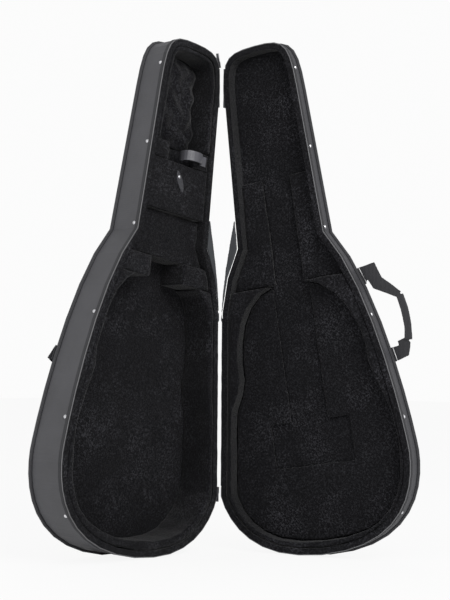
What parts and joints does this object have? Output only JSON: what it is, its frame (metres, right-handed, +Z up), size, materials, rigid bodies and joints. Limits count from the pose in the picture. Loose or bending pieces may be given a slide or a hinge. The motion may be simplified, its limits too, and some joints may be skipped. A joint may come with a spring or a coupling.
{
  "type": "guitar case",
  "caption": "Soft-sided foam case for a classical guitar, standing open on its lower end, with plush lining and a zip round its rim.",
  "frame": {"origin": "middle of the bounding box's bottom face", "axes": "+Z up the standing case, towards its head end; +Y out of the base's back"},
  "size_m": [0.5928, 0.5204, 1.0668],
  "materials": {
    "outer_fabric": "coated weave",
    "welt_fabric": "piped binding",
    "plush_lining": "deep short pile",
    "foam": "stiff foam",
    "zip_tape": "woven tape",
    "zip_teeth": "coil",
    "hinge_fabric": "plain weave",
    "webbing": "ribbed webbing",
    "satin_ribbon": "satin",
    "tab_leather": "smooth",
    "nickel": "bright"
  },
  "bodies": {
    "base_tray": {"accessory_box": "plush_lining", "base_back_cover": "outer_fabric", "base_board": "foam", "base_contour_pad": "plush_lining", "base_floor_lining": "plush_lining", "base_foam_wall": "foam", "base_handle_lower_patch": "webbing", "base_handle_upper_patch": "webbing", "base_lower_hinge": "hinge_fabric", "base_rivet_1": "nickel", "base_rivet_2": "nickel", "base_rivet_3": "nickel", "base_rivet_4": "nickel", "base_rivet_5": "nickel", "base_rivet_6": "nickel", "base_side_cover": "outer_fabric", "base_side_lining": "plush_lining", "base_top_hinge": "hinge_fabric", "base_welt": "welt_fabric", "base_zip_tape": "zip_tape", "base_zip_teeth": "zip_teeth", "head_collar": "plush_lining", "head_cushion": "plush_lining", "heel_block_hinge_side": "plush_lining", "heel_block_outer": "plush_lining", "lower_zip_slider": "nickel", "neck_cradle": "plush_lining", "neck_rest": "plush_lining", "neck_strap_foot": "satin_ribbon", "top_zip_slider": "nickel"},
    "lid_tray": {"body_pad": "plush_lining", "lid_board": "foam", "lid_contour_pad": "plush_lining", "lid_floor_lining": "plush_lining", "lid_foam_wall": "foam", "lid_front_cover": "outer_fabric", "lid_handle_lower_patch": "webbing", "lid_handle_upper_patch": "webbing", "lid_lower_hinge": "hinge_fabric", "lid_rivet_1": "nickel", "lid_rivet_2": "nickel", "lid_rivet_3": "nickel", "lid_rivet_4": "nickel", "lid_rivet_5": "nickel", "lid_rivet_6": "nickel", "lid_side_cover": "outer_fabric", "lid_side_lining": "plush_lining", "lid_top_hinge": "hinge_fabric", "lid_welt": "welt_fabric", "lid_zip_tape": "zip_tape", "lid_zip_teeth": "zip_teeth", "neck_pad_hinge_side": "plush_lining", "neck_pad_outer": "plush_lining"},
    "lid_handle_loop": {"lid_handle": "webbing"},
    "base_handle_loop": {"base_handle": "webbing"},
    "accessory_flap_body": {"accessory_flap": "plush_lining"},
    "pull_tab_body": {"pull_tab": "tab_leather", "pull_tab_rivet": "nickel"},
    "neck_strap_body": {"neck_strap": "satin_ribbon"}
  },
  "joints": [
    {"name": "lid_hinge", "type": "hinge", "parent": "base_tray", "child": "lid_tray", "pos_m": [0.13513, 0.15081, 0], "axis": [0, 0, 1], "range_deg": [-105.7, 70]},
    {"name": "lid_handle_swing", "type": "hinge", "parent": "lid_tray", "child": "lid_handle_loop", "pos_m": [0.27432, -0.16485, 0.49227], "axis": [-0.1178, 0.384, 0.9158], "range_deg": [0, 165]},
    {"name": "base_handle_swing", "type": "hinge", "parent": "base_tray", "child": "base_handle_loop", "pos_m": [-0.19727, 0.24442, 0.48715], "axis": [0.4986, -0.027, 0.8664], "range_deg": [0, 165]},
    {"name": "accessory_flap_lift", "type": "hinge", "parent": "base_tray", "child": "accessory_flap_body", "pos_m": [0.00512, 0.15581, 0.69901], "axis": [0.9885, 0, -0.1509], "range_deg": [0, 110]},
    {"name": "pull_tab_lift", "type": "hinge", "parent": "accessory_flap_body", "child": "pull_tab_body", "pos_m": [0.01173, 0.15551, 0.78803], "axis": [-0.9885, 0, 0.1509], "range_deg": [0, 90]},
    {"name": "neck_strap_swing", "type": "hinge", "parent": "base_tray", "child": "neck_strap_body", "pos_m": [0.07539, 0.15391, 0.81473], "axis": [0.1509, 0, 0.9885], "range_deg": [0, 80]}
  ]
}
